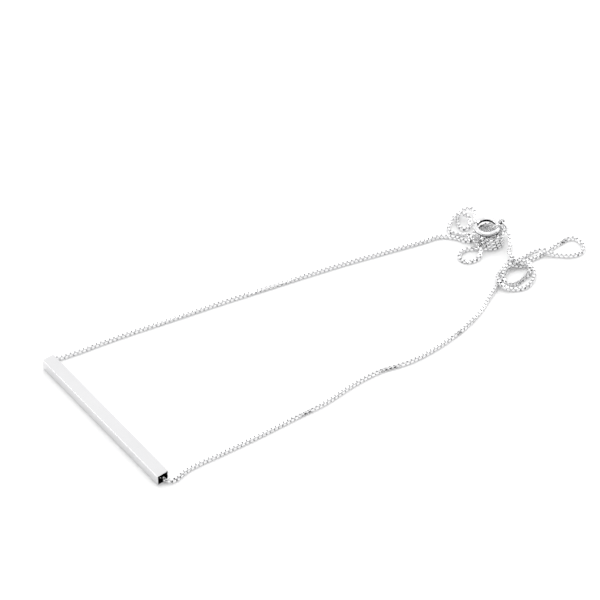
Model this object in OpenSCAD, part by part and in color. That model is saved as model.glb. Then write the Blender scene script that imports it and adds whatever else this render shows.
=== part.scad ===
// Square bar pendant threaded on a fine box chain, with a spring ring clasp, lying on a table.
// The bar lies along X with the middle of its underside at the origin. The chain runs out of
// both mouths of the bar, along +Y, to the clasp that lies on the coiled end of the left half.

/* [Bar pendant] */
// Length of the square tube
bar_length = 37.5; // [36:0.5:38]
// Outside width and height of the square tube
bar_side = 2.5; // [2.4:0.05:2.6]
// Thickness of the tube's wall
bar_wall = 0.2; // [0.2:0.05:0.3]
// Radius of the tube's four outside edges
bar_edge = 0.12; // [0.08:0.02:0.16]

/* [Chain] */
// Width of the box chain, corner to corner
chain_width = 0.84; // [0.6:0.02:0.84]
// Radius of the small ring soldered to each end of the chain, to the middle of its wire
end_ring_radius = 0.5; // [0.45:0.05:0.5]
// Wire of the two end rings
end_ring_wire = 0.3; // [0.2:0.05:0.3]
// Gap between a chain end and the ring that carries it
end_gap = 0.05; // [0.03:0.01:0.1]
// Radius of the coil that the clasp lies on
coil_radius = 2.4; // [2.35:0.05:2.45]
// Height that the coil gains in one turn
coil_rise = 0.87; // [0.87:0.01:0.9]

/* [Clasp] */
// Radius of the spring ring, to the middle of its tube
clasp_radius = 2.2; // [2.15:0.05:2.25]
// Diameter of the spring ring's tube
clasp_tube = 1; // [0.95:0.05:1]
// Diameter of the bolt that slides in the tube
bolt_size = 0.6; // [0.5:0.05:0.6]
// Clearance round the bolt in its bore
bolt_clearance = 0.05; // [0.04:0.01:0.06]
// How far the bolt draws back, in degrees about the clasp's centre
bolt_travel = 44; // [40:1:44]
// Radius of the soldered eyelet, to the middle of its wire
eyelet_radius = 0.6; // [0.55:0.05:0.65]
// Radius of the jump ring in the eyelet, to the middle of its wire
jump_ring_radius = 1.35; // [1.3:0.05:1.35]
// Radius of the catch ring that the bolt locks in, to the middle of its wire
catch_ring_radius = 1; // [0.95:0.05:1]
// Wire of the eyelet, the jump ring and the catch ring
ring_wire = 0.4; // [0.3:0.05:0.4]

/* [Hidden] */
$fn = 48;

silver = "silver";
bright_silver = "gainsboro";
chain_sides = 8;

// Heights of the chain's middle: lying on the table, and inside the bar
rest = 0.43;
bore = 0.65;

// Left half of the chain: out of the bar's left mouth, along to the clasp end, round two loose
// loops and up to the coil
left_run = [
    [0, 0, bore], [-17, 0, bore], [-18.5, 0.1, bore], [-19.25, 0.75, bore],
    [-19.4, 1.6, 0.54], [-19.1, 2.4, rest], [-18.7, 3.3, rest], [-18.4, 4.7, rest],
    [-18, 6.5, rest], [-17.3, 10.6, rest], [-16.3, 15.8, rest], [-14, 26.2, rest],
    [-11.7, 36.6, rest],
    [-9.7, 45, rest], [-7.7, 53.4, rest], [-5.6, 61.8, rest], [-3.2, 70.1, rest],
    [-0.8, 78.4, rest], [0.5, 82.6, rest], [1.5, 83.6, rest], [2.6, 84.5, rest],
    [3.9, 85.1, rest], [4.7, 85.9, rest], [4.6, 87, rest], [3.5, 88.3, rest],
    [2.1, 89.6, rest], [0.8, 90.8, 0.7], [-0.4, 91.6, 1.1], [-1.6, 91.6, 1.2],
    [-2.4, 90.7, 1], [-2.4, 89.4, 0.7], [-1.6, 88.1, rest], [-0.1, 87.1, rest],
    [1.1, 87, rest], [1.7, 87.8, rest], [1.3, 88.9, 0.6], [0.3, 89.6, 1.05],
    [-0.8, 89.5, 1.35], [-1.6, 88.7, 1.45], [-1.8, 87.4, 1.15], [-1.4, 86, 0.6],
    [-0.4, 84.8, rest], [0.8, 84.6, rest], [1.9, 85.3, rest], [2.9, 85.9, 0.75],
    [4.1, 86.2, 1.3], [5.3, 86.3, 1.4], [6.5, 86.2, 1.4], [7.7, 86, 1.4],
    [8.7, 85.6, 0.9], [9.4, 84.6, 0.5], [9.6, 83.3, rest], [9.1, 82, rest],
    [8.1, 81.3, rest], [6.9, 81.5, rest], [6.2, 82.6, rest], [6.3, 84, rest],
    [7.1, 85.4, rest]
];

// The coil that the clasp lies on: its middle, where it starts, and steps of 30 degrees
coil_middle = [7.2, 89.4];
coil_start = -52;
coil_step = 30;
coil_steps = 36;

// From the top of the coil, under the clasp, to the catch ring
left_tail = [
    [9.35, 88.1, 3.13], [9.75, 88.65, 3.17], [9.7, 89.15, 3.18], [9.14, 89.43, 3.1],
    [8.49, 89.48, 3.12]
];

// Right half of the chain: out of the right mouth, along, round the open loop, back through the
// heap of three turns and over it to the clasp
right_run = [
    [0, 0, bore], [17, 0.15, bore], [18.4, 0.3, bore], [19.1, 0.6, bore], [19.75, 1.2, 0.57],
    [19.9, 1.9, 0.5], [19.85, 2.7, rest], [19.55, 3.9, rest], [19.35, 5.5, rest],
    [19.4, 6.8, rest], [19.5, 8.5, rest], [19.8, 11, rest], [20.1, 14, rest],
    [20.7, 20.7, rest], [21.3, 30, rest],
    [21.7, 35.5, rest], [21.3, 44.3, rest], [21.6, 49.3, rest], [23.2, 55.5, rest],
    [23.4, 64, rest], [22.6, 70, rest], [20.9, 75.5, rest], [19.2, 79.1, rest],
    [18.2, 81.3, rest], [17.3, 83.1, rest], [16.4, 85, rest], [15.6, 86.8, rest],
    [15.2, 88.5, rest], [14.9, 90.1, rest], [15, 91.8, rest], [15.2, 93.2, 0.8],
    [15.8, 94.3, 1.25], [16.5, 95.3, 1.45], [17.3, 96, 1], [18.2, 96.9, 0.5],
    [19.3, 98, rest], [20.2, 99.1, rest], [20.8, 100.4, rest], [20.8, 101.8, rest],
    [20, 102.9, rest], [18.5, 103.3, rest], [17, 103, rest], [16.3, 101.8, rest],
    [16.3, 100.3, rest], [16.3, 98.7, rest], [16.4, 97, rest], [16.5, 95.4, rest],
    [16.5, 93.7, rest], [16.2, 92.2, rest], [15.9, 90.8, rest], [15.7, 89.8, 1],
    [15.2, 89, 1.4], [14.7, 88.1, 1.3], [14.7, 87, 0.8], [15.1, 85.6, 0.5],
    [15.7, 84.4, 0.6], [16.5, 83.3, 1.1], [17.5, 82.7, 1.4], [18.6, 82.6, 1.2],
    [19.6, 83.1, 0.7], [20.5, 84.1, rest], [21.2, 85.3, rest], [21.5, 86.7, rest],
    [21.1, 88.3, rest], [20.2, 89.7, rest], [18.9, 90.6, rest], [17.8, 90.8, rest],
    [16.9, 90.3, rest], [16.5, 89.2, 0.7], [16, 88.3, 1.15], [15.7, 87.6, 1.4],
    [15.7, 86.3, 1.45], [16.3, 85.1, 1.4], [17, 84.2, 1.4], [18, 83.7, 1.15],
    [18.9, 83.9, 0.75], [19.5, 84.7, rest], [19.7, 86.1, rest], [19.5, 87.7, rest],
    [19.2, 89.1, 0.6], [18.5, 90.1, 1.1], [17.7, 90.5, 1.4], [16.9, 90.2, 1.5],
    [16.4, 89.3, 1.75], [15.6, 88.5, 2.2], [14.4, 88.5, 2.3], [13.1, 89.1, 1.5],
    [12.1, 90.1, 1.2], [11.3, 91.1, 1.2], [10.32, 91.84, 1.55], [9.12, 92.39, 2.05]
];

// The spring ring lies level on the coil. Angles are about its centre, from +X towards +Y.
clasp_place = [6.54, 88.78, 4.1];
mouth_start = 210;
mouth_end = 248;
bolt_tip = 252;
bolt_tail = 166;
trigger_angle = 186;
trigger_size = 0.5;
trigger_reach = 3.3;
slot_margin = 9;
socket_margin = 3;
bore_size = bolt_size + 2 * bolt_clearance;
eyelet_angle = 80;
eyelet_solder = 0.2;
eyelet_reach = clasp_radius + clasp_tube / 2 + eyelet_radius + ring_wire / 2 - eyelet_solder;
jump_ring_shift = 0.1;
jump_ring_lean = 21;
catch_ring_angle = 42;
catch_ring_turn = 25;
catch_ring_shift = -0.1;
catch_ring_drop = 0.14;

// Direction of each end ring's axis
left_ring_axis = [-0.3, -0.7, 0.65];
right_ring_axis = [0.3, -0.2, 0.93];

function unit(v) = v / norm(v);

// Points of the coil, rising evenly from the height of the table
function coil_route() = [
    for (i = [0 : coil_steps])
        let (turned = i * coil_step, a = coil_start + turned)
        [coil_middle.x + coil_radius * cos(a), coil_middle.y + coil_radius * sin(a),
         rest + coil_rise * turned / 360]
];

// Direction of a route at one of its points, from its neighbours on both sides
function heading(route, i) =
    unit(route[min(i + 1, len(route) - 1)] - route[max(i - 1, 0)]);

// One ring of corners across the route, with a corner straight down
function corners(centre, along) =
    let (side = unit(cross(along, [0, 0, 1])), up = cross(side, along))
    [for (k = [0 : chain_sides - 1])
        let (a = 360 * k / chain_sides)
        centre + chain_width / 2 * (cos(a) * side + sin(a) * up)];

// Middle of the ring that ends a route, in line with its last stretch
function end_ring_centre(route) =
    let (last = route[len(route) - 1])
    last + unit(last - route[len(route) - 2])
           * (end_ring_radius + end_ring_wire / 2 + end_gap);

left_route = concat(left_run, coil_route(), left_tail);

// Closed tube through every point of a route
module tube(route) {
    last_ring = len(route) - 1;
    points = [for (i = [0 : last_ring]) each corners(route[i], heading(route, i))];
    walls = [
        for (i = [0 : last_ring - 1], k = [0 : chain_sides - 1])
            let (n = (k + 1) % chain_sides, low = i * chain_sides, high = low + chain_sides)
            each [[low + k, low + n, high + n], [low + k, high + n, high + k]]
    ];
    start_cap = [[for (k = [chain_sides - 1 : -1 : 0]) k]];
    end_cap = [[for (k = [0 : chain_sides - 1]) last_ring * chain_sides + k]];
    polyhedron(points, concat(walls, start_cap, end_cap), convexity = 10);
}

// Round wire ring lying in the XY plane
module wire_ring(radius, wire) {
    rotate_extrude() translate([radius, 0]) circle(d = wire);
}

// The same ring at a place, with its axis along a direction
module placed_ring(centre, axis, radius, wire) {
    tilt = acos(axis.z / norm(axis));
    translate(centre) rotate([0, tilt, atan2(axis.y, axis.x)]) wire_ring(radius, wire);
}

// Part of a round tube bent about the clasp's centre, between two angles
module bent_rod(size, from, to) {
    rotate([0, 0, from])
        rotate_extrude(angle = to - from)
            translate([clasp_radius, 0]) circle(d = size);
}

// Square with rounded corners, centred
module rounded_square(side, radius) {
    inner = side - 2 * radius;
    square([side, inner], center = true);
    square([inner, side], center = true);
    for (x = [-inner / 2, inner / 2], y = [-inner / 2, inner / 2])
        translate([x, y]) circle(r = radius);
}

// Square tube, open at both ends
module bar_pendant() {
    bore_side = bar_side - 2 * bar_wall;
    color(bright_silver)
        translate([0, 0, bar_side / 2])
            rotate([90, 0, 90])
                linear_extrude(bar_length, center = true)
                    difference() {
                        rounded_square(bar_side, bar_edge);
                        square(bore_side, center = true);
                    }
}

module chain_left() {
    color(silver) tube(left_route);
}

module chain_right() {
    color(silver) tube(right_run);
}

module end_ring_left() {
    color(silver)
        placed_ring(end_ring_centre(left_route), left_ring_axis, end_ring_radius, end_ring_wire);
}

module end_ring_right() {
    color(silver)
        placed_ring(end_ring_centre(right_run), right_ring_axis, end_ring_radius, end_ring_wire);
}

// Ring round the spring ring's tube, on the end of the chain's left half
module catch_ring() {
    color(bright_silver)
        translate(clasp_place)
            rotate([0, 0, catch_ring_angle])
                translate([clasp_radius + catch_ring_shift, 0, -catch_ring_drop])
                    rotate([90, 0, catch_ring_turn]) wire_ring(catch_ring_radius, ring_wire);
}

// Ring hanging in the eyelet, leaning out from the clasp
module jump_ring() {
    drop = [sin(jump_ring_lean), 0, -cos(jump_ring_lean)];
    color(bright_silver)
        translate(clasp_place)
            rotate([0, 0, eyelet_angle])
                translate([eyelet_reach + jump_ring_shift, 0, 0] + jump_ring_radius * drop)
                    rotate([0, 90 - jump_ring_lean, 0]) wire_ring(jump_ring_radius, ring_wire);
}

// Spring ring: bent tube open at the mouth, its bore and trigger slot, and the soldered eyelet
module clasp_body() {
    slot_start = trigger_angle - bolt_travel - slot_margin;
    slot_end = trigger_angle + slot_margin;
    bore_start = bolt_tail - bolt_travel - slot_margin;
    color(bright_silver)
        translate(clasp_place)
            difference() {
                union() {
                    bent_rod(clasp_tube, mouth_end - 360, mouth_start);
                    rotate([0, 0, eyelet_angle])
                        translate([eyelet_reach, 0, 0])
                            rotate([90, 0, 0]) wire_ring(eyelet_radius, ring_wire);
                }
                bent_rod(bore_size, bore_start, bolt_tip + socket_margin);
                rotate([0, 0, slot_start])
                    rotate_extrude(angle = slot_end - slot_start)
                        translate([clasp_radius, -bore_size / 2])
                            square([clasp_tube, bore_size]);
            }
}

// Sliding bolt with its trigger, shown closed
module clasp_bolt() {
    color(bright_silver)
        translate(clasp_place)
            union() {
                bent_rod(bolt_size, bolt_tail, bolt_tip);
                rotate([0, 0, trigger_angle])
                    translate([clasp_radius, 0, 0])
                        rotate([0, 90, 0])
                            cylinder(d = trigger_size, h = trigger_reach - clasp_radius);
            }
}

bar_pendant();
chain_left();
chain_right();
end_ring_left();
end_ring_right();
catch_ring();
jump_ring();
clasp_body();
clasp_bolt();
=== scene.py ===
import math

import bpy
import numpy as np
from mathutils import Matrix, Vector


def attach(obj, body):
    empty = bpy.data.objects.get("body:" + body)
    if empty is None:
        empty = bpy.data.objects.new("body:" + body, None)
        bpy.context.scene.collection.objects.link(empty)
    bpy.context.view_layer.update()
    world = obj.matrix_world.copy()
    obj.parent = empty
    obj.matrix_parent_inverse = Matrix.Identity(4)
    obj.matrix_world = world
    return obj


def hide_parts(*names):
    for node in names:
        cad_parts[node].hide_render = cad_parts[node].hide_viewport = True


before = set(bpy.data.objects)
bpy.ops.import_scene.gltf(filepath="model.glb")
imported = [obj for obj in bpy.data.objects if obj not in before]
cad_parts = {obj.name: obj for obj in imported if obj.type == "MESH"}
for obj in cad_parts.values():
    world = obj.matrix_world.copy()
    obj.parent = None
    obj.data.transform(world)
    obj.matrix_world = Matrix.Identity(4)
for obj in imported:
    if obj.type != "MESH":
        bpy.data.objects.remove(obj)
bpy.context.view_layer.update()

# Camera. The photograph was taken from in front of the bar's right end, 46 degrees above the
# table, from about 0.6 m away, with the whole necklace in a square frame. Places are in metres.
camera_place = Vector((0.3351, -0.2123, 0.4371))
camera_target = Vector((-0.00325, 0.04922, 0))
film_width_mm = 36
focal_length_mm = 186.47
nearest_seen = 0.01
farthest_seen = 20

camera = bpy.data.objects.new("camera", bpy.data.cameras.new("camera"))
bpy.context.scene.collection.objects.link(camera)
camera.data.sensor_width = film_width_mm
camera.data.lens = focal_length_mm
camera.data.clip_start = nearest_seen
camera.data.clip_end = farthest_seen
camera.location = camera_place
camera.rotation_euler = (camera_target - camera_place).to_track_quat("-Z", "Y").to_euler()
bpy.context.scene.camera = camera


# Bar pendant. A length of square tube in sterling silver, drawn through a die, cut off square,
# polished and plated. It has no bail: the chain is threaded through it from end to end. Sizes
# of the necklace are in mm, and turn into metres where they meet Blender.
mm = 0.001
bar_light = "#e2e2e3"
bar_shade = "#dadadb"
cloud_size = 6.0
die_line_spacing = 0.45
die_line_length = 9.0
die_line_depth = 0.02
die_line_strength = 0.25
bar_roughness = (0.07, 0.16)
noise_span = (0.3, 0.7)
bar_middle = (0, 0, 1.25)
# The bore's colour is painted shade: the inside of the tube is drawn dark.
bore_painted_shade = "#1c1c1e"
bore_shade_reach = (1.06, 1.08)


def linear(colour):
    """Linear red, green, blue and full alpha of an sRGB hex colour.

    A very dark share is divided by 12.92. Any other follows the standard's power curve of 2.4.
    """
    parts = [int(colour[k:k + 2], 16) / 255 for k in (1, 3, 5)]
    return [p / 12.92 if p <= 0.04045 else ((p + 0.055) / 1.055) ** 2.4 for p in parts] + [1]


def add_node(tree, kind, inputs, **settings):
    """Adds one node. Each named input takes a value, or the output socket that feeds it."""
    node = tree.nodes.new(kind)
    for name, value in settings.items():
        setattr(node, name, value)
    for name, value in inputs.items():
        if isinstance(value, bpy.types.NodeSocket):
            tree.links.new(value, node.inputs[name])
        else:
            node.inputs[name].default_value = value
    return node


def drawn_polished_silver():
    """Rhodium-plated sterling silver, drawn and polished: a clear, cool, neutral mirror.

    Drawing leaves faint lines along the tube, which the polishing softens. They are finer than
    0.1 mm on the real bar and are drawn 0.45 mm apart here so that they show. The bore is
    painted dark, as painted shade inside the tube: it is where the larger of the distances
    sideways and upwards from the bar's middle line is less than the bore's reach.
    """
    material = bpy.data.materials.new("drawn_polished_silver")
    material.use_nodes = True
    tree = material.node_tree
    metal = tree.nodes["Principled BSDF"]
    place = add_node(tree, "ShaderNodeTexCoord", {})
    drawn_out = add_node(tree, "ShaderNodeMapping", {
        "Vector": place.outputs["Object"],
        "Scale": (1 / (die_line_length * mm), 1 / (die_line_spacing * mm),
                  1 / (die_line_spacing * mm))})
    lines = add_node(tree, "ShaderNodeTexNoise", {
        "Vector": drawn_out.outputs["Vector"], "Scale": 1.0, "Detail": 3.0, "Roughness": 0.6})
    cloud = add_node(tree, "ShaderNodeTexNoise", {
        "Vector": place.outputs["Object"], "Scale": 1 / (cloud_size * mm), "Detail": 2.0})
    tone = add_node(tree, "ShaderNodeMix", {
        "Factor": cloud.outputs["Fac"], "A": linear(bar_light), "B": linear(bar_shade)},
        data_type="RGBA")
    dullness = add_node(tree, "ShaderNodeMapRange", {
        "Value": lines.outputs["Fac"], "From Min": noise_span[0], "From Max": noise_span[1],
        "To Min": bar_roughness[0], "To Max": bar_roughness[1]})
    relief = add_node(tree, "ShaderNodeBump", {
        "Height": lines.outputs["Fac"], "Strength": die_line_strength,
        "Distance": die_line_depth * mm})
    centred = add_node(tree, "ShaderNodeVectorMath", {
        0: place.outputs["Object"], 1: [part * mm for part in bar_middle]}, operation="SUBTRACT")
    folded = add_node(tree, "ShaderNodeVectorMath", {0: centred.outputs["Vector"]},
                      operation="ABSOLUTE")
    parts = add_node(tree, "ShaderNodeSeparateXYZ", {"Vector": folded.outputs["Vector"]})
    reach = add_node(tree, "ShaderNodeMath", {0: parts.outputs["Y"], 1: parts.outputs["Z"]},
                     operation="MAXIMUM")
    # Painted shade in the bore: dark wherever the point lies inside the tube's walls.
    bore_shade = add_node(tree, "ShaderNodeMapRange", {
        "Value": reach.outputs["Value"], "From Min": bore_shade_reach[0] * mm,
        "From Max": bore_shade_reach[1] * mm, "To Min": 1.0, "To Max": 0.0})
    colour = add_node(tree, "ShaderNodeMix", {
        "Factor": bore_shade.outputs["Result"], "A": tone.outputs["Result"],
        "B": linear(bore_painted_shade)}, data_type="RGBA")
    tree.links.new(colour.outputs["Result"], metal.inputs["Base Color"])
    tree.links.new(dullness.outputs["Result"], metal.inputs["Roughness"])
    tree.links.new(relief.outputs["Normal"], metal.inputs["Normal"])
    metal.inputs["Metallic"].default_value = 1
    return material


def dress(node, material):
    """Gives a CAD node one material, whatever slots it came with."""
    node.data.materials.clear()
    node.data.materials.append(material)


dress(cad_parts["bar_pendant"], drawn_polished_silver())


# Box chain. Each link is flat silver strip, bent into a square loop, soldered shut and hooked
# through its neighbours a quarter turn round from them. The left half runs from the middle of
# the bar to the coil that the clasp lies on, the right half round a heap of turns to the clasp.
link_length = 0.71
link_width = 0.80
strip_width = 0.46
strip_thickness = 0.12
corner_cut = 0.12
inner_corner_cut = 0.04
edge_cut = 0.05
link_spacing = 0.464
end_reach = 0.2
# Share of the inside colour on the strip's sides: partly dull metal, partly painted shade.
side_dullness_and_shade = 0.25
curve_steps = 16
overrun = 2.0

# Heights of the chain's middle where it lies on the table and in the bar, and its route.
rest = 0.43
bore = 0.65
left_run = [
    [0, 0, bore], [-17, 0, bore], [-18.5, 0.1, bore], [-19.25, 0.75, bore],
    [-19.4, 1.6, 0.54], [-19.1, 2.4, rest], [-18.7, 3.3, rest], [-18.4, 4.7, rest],
    [-18, 6.5, rest], [-17.3, 10.6, rest], [-16.3, 15.8, rest], [-14, 26.2, rest],
    [-11.7, 36.6, rest],
    [-9.7, 45, rest], [-7.7, 53.4, rest], [-5.6, 61.8, rest], [-3.2, 70.1, rest],
    [-0.8, 78.4, rest], [0.5, 82.6, rest], [1.5, 83.6, rest], [2.6, 84.5, rest],
    [3.9, 85.1, rest], [4.7, 85.9, rest], [4.6, 87, rest], [3.5, 88.3, rest],
    [2.1, 89.6, rest], [0.8, 90.8, 0.7], [-0.4, 91.6, 1.1], [-1.6, 91.6, 1.2],
    [-2.4, 90.7, 1], [-2.4, 89.4, 0.7], [-1.6, 88.1, rest], [-0.1, 87.1, rest],
    [1.1, 87, rest], [1.7, 87.8, rest], [1.3, 88.9, 0.6], [0.3, 89.6, 1.05],
    [-0.8, 89.5, 1.35], [-1.6, 88.7, 1.45], [-1.8, 87.4, 1.15], [-1.4, 86, 0.6],
    [-0.4, 84.8, rest], [0.8, 84.6, rest], [1.9, 85.3, rest], [2.9, 85.9, 0.75],
    [4.1, 86.2, 1.3], [5.3, 86.3, 1.4], [6.5, 86.2, 1.4], [7.7, 86, 1.4],
    [8.7, 85.6, 0.9], [9.4, 84.6, 0.5], [9.6, 83.3, rest], [9.1, 82, rest],
    [8.1, 81.3, rest], [6.9, 81.5, rest], [6.2, 82.6, rest], [6.3, 84, rest],
    [7.1, 85.4, rest],
]
coil_middle = (7.2, 89.4)
coil_radius = 2.4
coil_start = -52
coil_step = 30
coil_steps = 36
coil_rise = 0.87
left_tail = [
    [9.35, 88.1, 3.13], [9.75, 88.65, 3.17], [9.7, 89.15, 3.18], [9.14, 89.43, 3.1],
    [8.49, 89.48, 3.12],
]
right_run = [
    [0, 0, bore], [17, 0.15, bore], [18.4, 0.3, bore], [19.1, 0.6, bore], [19.75, 1.2, 0.57],
    [19.9, 1.9, 0.5], [19.85, 2.7, rest], [19.55, 3.9, rest], [19.35, 5.5, rest],
    [19.4, 6.8, rest], [19.5, 8.5, rest], [19.8, 11, rest], [20.1, 14, rest],
    [20.7, 20.7, rest], [21.3, 30, rest],
    [21.7, 35.5, rest], [21.3, 44.3, rest], [21.6, 49.3, rest], [23.2, 55.5, rest],
    [23.4, 64, rest], [22.6, 70, rest], [20.9, 75.5, rest], [19.2, 79.1, rest],
    [18.2, 81.3, rest], [17.3, 83.1, rest], [16.4, 85, rest], [15.6, 86.8, rest],
    [15.2, 88.5, rest], [14.9, 90.1, rest], [15, 91.8, rest], [15.2, 93.2, 0.8],
    [15.8, 94.3, 1.25], [16.5, 95.3, 1.45], [17.3, 96, 1], [18.2, 96.9, 0.5],
    [19.3, 98, rest], [20.2, 99.1, rest], [20.8, 100.4, rest], [20.8, 101.8, rest],
    [20, 102.9, rest], [18.5, 103.3, rest], [17, 103, rest], [16.3, 101.8, rest],
    [16.3, 100.3, rest], [16.3, 98.7, rest], [16.4, 97, rest], [16.5, 95.4, rest],
    [16.5, 93.7, rest], [16.2, 92.2, rest], [15.9, 90.8, rest], [15.7, 89.8, 1],
    [15.2, 89, 1.4], [14.7, 88.1, 1.3], [14.7, 87, 0.8], [15.1, 85.6, 0.5],
    [15.7, 84.4, 0.6], [16.5, 83.3, 1.1], [17.5, 82.7, 1.4], [18.6, 82.6, 1.2],
    [19.6, 83.1, 0.7], [20.5, 84.1, rest], [21.2, 85.3, rest], [21.5, 86.7, rest],
    [21.1, 88.3, rest], [20.2, 89.7, rest], [18.9, 90.6, rest], [17.8, 90.8, rest],
    [16.9, 90.3, rest], [16.5, 89.2, 0.7], [16, 88.3, 1.15], [15.7, 87.6, 1.4],
    [15.7, 86.3, 1.45], [16.3, 85.1, 1.4], [17, 84.2, 1.4], [18, 83.7, 1.15],
    [18.9, 83.9, 0.75], [19.5, 84.7, rest], [19.7, 86.1, rest], [19.5, 87.7, rest],
    [19.2, 89.1, 0.6], [18.5, 90.1, 1.1], [17.7, 90.5, 1.4], [16.9, 90.2, 1.5],
    [16.4, 89.3, 1.75], [15.6, 88.5, 2.2], [14.4, 88.5, 2.3], [13.1, 89.1, 1.5],
    [12.1, 90.1, 1.2], [11.3, 91.1, 1.2], [10.32, 91.84, 1.55], [9.12, 92.39, 2.05],
]

# How the chain rolls about its own length. Each twist has its distance along its half of the
# chain in mm, its angle in degrees and its length in mm.
sway_angle = (3, 2)
sway_length = (9.0, 4.3)
coil_from = 160
left_twists = ((66.5, -32, 4), (60, -4, 60), (151.5, 34, 1.4), (158, 34, 1.6))
right_twists = ((50.5, 35, 3), (70.5, 28, 4.5), (87.3, 33, 2), (94.5, -20, 4),
                (132.3, -36, 1.6), (178.5, 33, 3.6))

link_tone_size = 0.9
chain_light = "#fbfbfb"
chain_shade = "#f2f2f3"
# The inside colour greys the links' inner faces: partly metal that tumbling doesn't reach, partly
# painted shade.
chain_inside_dull_and_shaded = "#cfcfd1"
chain_roughness = (0.16, 0.28)


def coil_route():
    """Points of the coil: equal steps of angle round its middle, rising evenly from the table."""
    turned = coil_step * np.arange(coil_steps + 1)
    angle = np.radians(coil_start + turned)
    return np.column_stack([
        coil_middle[0] + coil_radius * np.cos(angle),
        coil_middle[1] + coil_radius * np.sin(angle),
        rest + coil_rise * turned / 360])


def smooth_run(route):
    """Fine points on one smooth curve through a route, never lower than the table lets it lie.

    Between two points the curve is a cubic of t, the fraction travelled. Its direction at a
    point is the mean of the chords on both sides, each weighted by the length of the other.
    """
    points = np.array(route, float)
    chord = np.diff(points, axis=0)
    length = np.linalg.norm(chord, axis=1)[:, None]
    step = chord / length
    inner = (step[:-1] * length[1:] + step[1:] * length[:-1]) / (length[:-1] + length[1:])
    slope = np.vstack([step[:1], inner, step[-1:]])
    t = np.linspace(0, 1, curve_steps, endpoint=False)[None, :, None]
    start, end = points[:-1, None], points[1:, None]
    leave = slope[:-1, None] * length[:, None]
    arrive = slope[1:, None] * length[:, None]
    curve = ((2 * t ** 3 - 3 * t ** 2 + 1) * start + (t ** 3 - 2 * t ** 2 + t) * leave
             + (3 * t ** 2 - 2 * t ** 3) * end + (t ** 3 - t ** 2) * arrive)
    curve = np.vstack([curve.reshape(-1, 3), points[-1:]])
    curve[:, 2] = np.maximum(curve[:, 2], rest)
    return curve


def one_link():
    """Corners and faces of one link about its middle, in mm: length in x, width in z.

    A cut-cornered rectangle is walked round twice, inside and outside the strip. Across the
    strip six corners lead over its two chamfered edges, as shares of the way from the inside
    to the outside and as offsets in y. The third array says how much of the inside colour,
    partly dull metal and partly painted shade, each face takes: wholly inside the link, partly
    on the strip's two sides and not at all outside.
    """
    def loop(half_x, half_z, cut):
        x = np.array([half_x, half_x, half_x - cut, cut - half_x, -half_x, -half_x,
                      cut - half_x, half_x - cut])
        z = np.array([cut - half_z, half_z - cut, half_z, half_z, half_z - cut,
                      cut - half_z, -half_z, -half_z])
        return np.column_stack([x, z])

    outside = loop(link_length / 2, link_width / 2, corner_cut)
    inside = loop(link_length / 2 - strip_thickness, link_width / 2 - strip_thickness,
                  inner_corner_cut)
    chamfer = 1 - edge_cut / strip_thickness
    share = np.array([0, chamfer, 1, 1, chamfer, 0])
    half = strip_width / 2
    offset = np.array([-half, -half, edge_cut - half, half - edge_cut, half, half])
    ring = inside[:, None] + share[None, :, None] * (outside - inside)[:, None]
    corners = np.stack([ring[..., 0], np.broadcast_to(offset, ring.shape[:2]), ring[..., 1]], -1)
    around, wide = ring.shape[:2]
    round_it, across = np.meshgrid(np.arange(around), np.arange(wide), indexing="ij")
    next_round = (round_it + 1) % around
    next_across = (across + 1) % wide
    faces = np.stack([round_it * wide + across, round_it * wide + next_across,
                      next_round * wide + next_across, next_round * wide + across], -1)
    # Inner faces take the inside colour wholly and the sides a little: partly dull metal, partly
    # painted shade.
    unpolished_and_shaded = np.broadcast_to([side_dullness_and_shade, 0, 0, 0, side_dullness_and_shade, 1], (around, wide))
    return corners.reshape(-1, 3), faces.reshape(-1, 4), unpolished_and_shaded.reshape(-1)


def link_turn(travelled, twists, calm_from):
    """Angle in degrees that the chain has rolled about its own length, after a distance in mm.

    It is the sum of two slow waves, which stop where the chain lies calm in its coil, and of a
    hump at each twist: its angle times e to the power of minus the square of the distance from
    its middle over its length.
    """
    turn = sum(angle * np.sin(travelled / length) * (travelled < calm_from)
               for angle, length in zip(sway_angle, sway_length))
    for middle, angle, length in twists:
        turn = turn + angle * np.exp(-((travelled - middle) / length) ** 2)
    return turn


def mesh_object(name, corners, faces):
    """Object at the origin, with its place in its mesh. Corners are in metres."""
    mesh = bpy.data.meshes.new(name)
    mesh.from_pydata(corners.tolist(), [], faces.tolist())
    mesh.update()
    made = bpy.data.objects.new(name, mesh)
    bpy.context.scene.collection.objects.link(made)
    return made


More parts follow.
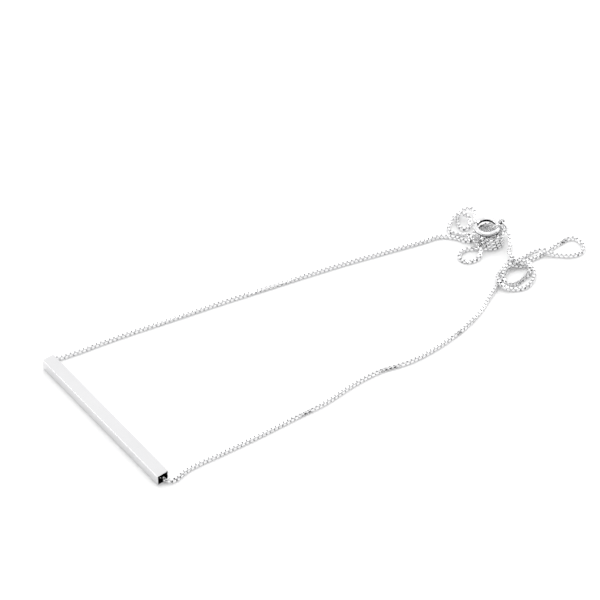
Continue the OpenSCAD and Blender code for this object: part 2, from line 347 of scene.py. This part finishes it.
def box_chain(name, route, first_quarter, twists, calm_from):
    """Links at even distances along a route, every other one a quarter turn round.

    A link's length follows the chord between two points half a spacing before and after it. Its
    hole and its width point sideways and upwards, both turned about that chord by the link's
    angle. Each half has an even number of links, and the halves start a quarter turn apart, so
    that the links alternate where the halves meet inside the bar. The curve first goes straight
    on past its end, because the last link reaches into the end ring.
    """
    curve = smooth_run(route)
    travelled = np.concatenate([[0], np.cumsum(np.linalg.norm(np.diff(curve, axis=0), axis=1))])
    reach = travelled[-1] + end_reach
    count = 2 * round(reach / link_spacing / 2)
    place = reach * (np.arange(count) + 0.5) / count
    heading = (curve[-1] - curve[-2]) / np.linalg.norm(curve[-1] - curve[-2])
    curve = np.vstack([curve, curve[-1] + heading * overrun])
    travelled = np.append(travelled, travelled[-1] + overrun)

    def at(distance):
        return np.column_stack([np.interp(distance, travelled, curve[:, k]) for k in range(3)])

    centre = at(place)
    along = at(place + link_spacing / 2) - at(np.maximum(place - link_spacing / 2, 0))
    along /= np.linalg.norm(along, axis=1)[:, None]
    side = np.cross(along, (0, 0, 1))
    side /= np.linalg.norm(side, axis=1)[:, None]
    up = np.cross(side, along)
    quarter = 90 * ((np.arange(count) + first_quarter) % 2)
    turn = np.radians(link_turn(place, twists, calm_from) + quarter)[:, None]
    hole = np.cos(turn) * side + np.sin(turn) * up
    width = np.cos(turn) * up - np.sin(turn) * side
    corners, faces, unpolished_and_shaded = one_link()
    x, y, z = corners.T
    placed = (centre[:, None] + x[None, :, None] * along[:, None]
              + y[None, :, None] * hole[:, None] + z[None, :, None] * width[:, None])
    all_faces = faces[None] + (len(corners) * np.arange(count))[:, None, None]
    chain = mesh_object(name, placed.reshape(-1, 3) * mm, all_faces.reshape(-1, 4))
    # Each face's share of the inside colour, which is partly painted shade.
    mark = chain.data.attributes.new("unpolished_and_shaded", "FLOAT", "FACE")
    mark.data.foreach_set("value", np.tile(unpolished_and_shaded, count))
    return chain


def tumbled_silver():
    """Sterling silver chain, soldered and tumbled in steel shot: bright, slightly soft.

    Tumbling leaves small differences from link to link. The inside of each link is greyer:
    partly metal that tumbling doesn't reach, partly painted shade.
    """
    material = bpy.data.materials.new("tumbled_silver")
    material.use_nodes = True
    tree = material.node_tree
    metal = tree.nodes["Principled BSDF"]
    place = add_node(tree, "ShaderNodeTexCoord", {})
    links = add_node(tree, "ShaderNodeTexNoise", {
        "Vector": place.outputs["Object"], "Scale": 1 / (link_tone_size * mm), "Detail": 2.0})
    tone = add_node(tree, "ShaderNodeMix", {
        "Factor": links.outputs["Fac"], "A": linear(chain_light), "B": linear(chain_shade)},
        data_type="RGBA")
    dullness = add_node(tree, "ShaderNodeMapRange", {
        "Value": links.outputs["Fac"], "From Min": noise_span[0], "From Max": noise_span[1],
        "To Min": chain_roughness[0], "To Max": chain_roughness[1]})
    mark = add_node(tree, "ShaderNodeAttribute", {}, attribute_name="unpolished_and_shaded")
    # Mixes in the inside colour: partly metal that tumbling doesn't reach, partly painted shade.
    shade = add_node(tree, "ShaderNodeMix", {
        "Factor": mark.outputs["Fac"], "A": tone.outputs["Result"], "B": linear(chain_inside_dull_and_shaded)},
        data_type="RGBA")
    tree.links.new(shade.outputs["Result"], metal.inputs["Base Color"])
    tree.links.new(dullness.outputs["Result"], metal.inputs["Roughness"])
    metal.inputs["Metallic"].default_value = 1
    return material


chain_finish = tumbled_silver()
left_route = left_run + coil_route().tolist() + left_tail
for half_name, route, first_quarter, twists, calm_from in (
        ("chain_left", left_route, 0, left_twists, coil_from),
        ("chain_right", right_run, 1, right_twists, math.inf)):
    links_name = half_name.replace("chain", "links")
    links = box_chain(links_name, route, first_quarter, twists, calm_from)
    links.data.materials.append(chain_finish)
    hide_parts(half_name)
    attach(links, "necklace")
dress(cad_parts["end_ring_left"], chain_finish)
dress(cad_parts["end_ring_right"], chain_finish)


# Clasp and its rings. The spring ring is a bent silver tube with an eyelet soldered on, and the
# bolt slides in it against a spring. The catch ring and jump ring are cut from round wire. All
# of them are polished to a mirror. The ring's middle is clasp_place.
clasp_place = (6.54, 88.78, 4.1)
hair_mark_size = 0.5
clasp_light = "#efeff0"
clasp_shade = "#e3e3e4"
clasp_roughness = (0.03, 0.08)
# This colour paints a dark band round the inside of the ring: partly the rolled tube's joint,
# partly painted dark reflection.
seam_painted_reflection_colour = "#26262a"
seam_painted_reflection_reach = (1.74, 1.77)
# This colour is painted shade and painted dark reflection on the ring's underside.
clasp_underside_painted_shade = "#38383c"
underside_painted_shade_height = (-0.02, 0.18)


def mirror_polished_silver(name, has_seam_and_painted_shade):
    """Rhodium-plated silver, polished on a felt wheel: a bright mirror with faint hair marks.

    The spring ring's tube is rolled from sheet. Its joint runs round the inside of the ring,
    and a dark band is painted there, wherever the distance from the ring's axis is least: partly
    that joint, partly painted dark reflection. The ring's underside is painted dark, as painted
    shade and painted dark reflection, up to a height a little above the ring's middle.
    """
    material = bpy.data.materials.new(name)
    material.use_nodes = True
    tree = material.node_tree
    metal = tree.nodes["Principled BSDF"]
    place = add_node(tree, "ShaderNodeTexCoord", {})
    marks = add_node(tree, "ShaderNodeTexNoise", {
        "Vector": place.outputs["Object"], "Scale": 1 / (hair_mark_size * mm), "Detail": 3.0})
    tone = add_node(tree, "ShaderNodeMix", {
        "Factor": marks.outputs["Fac"], "A": linear(clasp_light), "B": linear(clasp_shade)},
        data_type="RGBA")
    dullness = add_node(tree, "ShaderNodeMapRange", {
        "Value": marks.outputs["Fac"], "From Min": noise_span[0], "From Max": noise_span[1],
        "To Min": clasp_roughness[0], "To Max": clasp_roughness[1]})
    if has_seam_and_painted_shade:
        centred = add_node(tree, "ShaderNodeVectorMath", {
            0: place.outputs["Object"], 1: [part * mm for part in clasp_place]},
            operation="SUBTRACT")
        parts = add_node(tree, "ShaderNodeSeparateXYZ", {"Vector": centred.outputs["Vector"]})
        # Painted shade and dark reflection on the underside, up to a little above the ring's
        # middle.
        underside_shade = add_node(tree, "ShaderNodeMapRange", {
            "Value": parts.outputs["Z"], "From Min": underside_painted_shade_height[0] * mm,
            "From Max": underside_painted_shade_height[1] * mm, "To Min": 1.0, "To Max": 0.0})
        flat = add_node(tree, "ShaderNodeCombineXYZ", {
            "X": parts.outputs["X"], "Y": parts.outputs["Y"]})
        reach = add_node(tree, "ShaderNodeVectorMath", {0: flat.outputs["Vector"]},
                         operation="LENGTH")
        # Dark band round the inside of the ring: partly the tube's joint, partly painted dark
        # reflection.
        seam_and_painted_reflection = add_node(tree, "ShaderNodeMapRange", {
            "Value": reach.outputs["Value"], "From Min": seam_painted_reflection_reach[0] * mm,
            "From Max": seam_painted_reflection_reach[1] * mm, "To Min": 1.0, "To Max": 0.0})
        tone = add_node(tree, "ShaderNodeMix", {
            "Factor": underside_shade.outputs["Result"], "A": tone.outputs["Result"],
            "B": linear(clasp_underside_painted_shade)}, data_type="RGBA")
        tone = add_node(tree, "ShaderNodeMix", {
            "Factor": seam_and_painted_reflection.outputs["Result"], "A": tone.outputs["Result"],
            "B": linear(seam_painted_reflection_colour)}, data_type="RGBA")
    tree.links.new(tone.outputs["Result"], metal.inputs["Base Color"])
    tree.links.new(dullness.outputs["Result"], metal.inputs["Roughness"])
    metal.inputs["Metallic"].default_value = 1
    return material


dress(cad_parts["clasp_body"], mirror_polished_silver("mirror_polished_tube", True))
ring_finish = mirror_polished_silver("mirror_polished_silver", False)
for part in ("catch_ring", "jump_ring", "clasp_bolt"):
    dress(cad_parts[part], ring_finish)


# Table and studio. Matt white paper under an even white tent. A soft panel behind and lamps to
# the right, overhead and low on the left light the silver, and a black card standing round the
# camera's side, which the camera doesn't see, gives it its dark edges. Sizes are in metres.
table_colour = "#fafafa"
paper_roughness = 0.9
paper_gloss = 0.1
table_half = 2.0
table_drop = 0.00005
tent_strength = 1.02

# Each lamp has its place, the length of its side and its brightness.
lamps = {
    "back_panel": ((-0.77, 0.60, 1.00), 1.6, 0.17),
    "right_lamp": ((0.15, 1.00, 0.85), 0.4, 3.0),
    "top_lamp": ((-0.25, 0.20, 1.25), 0.5, 4.0),
    "left_lamp": ((-0.66, -0.86, 0.55), 0.35, 3.0),
}

# The card is an upright band round the middle of the scene, between two angles in degrees.
card_radius = 1.0
card_height = 0.45
card_from = -75
card_to = 48
card_faces = 24
card_colour = "#0a0a0a"


def plain_surface(name, colour):
    """Matt paper or card of one colour."""
    material = bpy.data.materials.new(name)
    material.use_nodes = True
    surface = material.node_tree.nodes["Principled BSDF"]
    surface.inputs["Base Color"].default_value = linear(colour)
    surface.inputs["Roughness"].default_value = paper_roughness
    surface.inputs["Specular IOR Level"].default_value = paper_gloss
    return material


table_corners = np.array([[-1, -1, 0], [1, -1, 0], [1, 1, 0], [-1, 1, 0]]) * table_half
table = mesh_object("table", table_corners - [0, 0, table_drop], np.array([[0, 1, 2, 3]]))
table.data.materials.append(plain_surface("white_paper", table_colour))

angle = np.radians(np.linspace(card_from, card_to, card_faces + 1))
foot = np.column_stack([np.cos(angle), np.sin(angle), 0 * angle]) * card_radius
step = np.arange(card_faces)
card = mesh_object(
    "black_card", np.vstack([foot, foot + [0, 0, card_height]]),
    np.column_stack([step, step + 1, step + card_faces + 2, step + card_faces + 1]))
card.data.materials.append(plain_surface("black_card", card_colour))
card.visible_camera = False

scene = bpy.context.scene
scene.view_settings.view_transform = "Standard"
tent = bpy.data.worlds.new("tent")
scene.world = tent
tent.use_nodes = True
tent.node_tree.nodes["Background"].inputs["Color"].default_value = (1, 1, 1, 1)
tent.node_tree.nodes["Background"].inputs["Strength"].default_value = tent_strength

for lamp_name, (place, size, brightness) in lamps.items():
    lamp = bpy.data.objects.new(lamp_name, bpy.data.lights.new(lamp_name, "AREA"))
    scene.collection.objects.link(lamp)
    lamp.data.size = size
    lamp_area = size ** 2
    lamp.data.energy = brightness * math.pi * lamp_area
    lamp.location = place
    lamp.rotation_euler = (-Vector(place)).to_track_quat("-Z", "Y").to_euler()
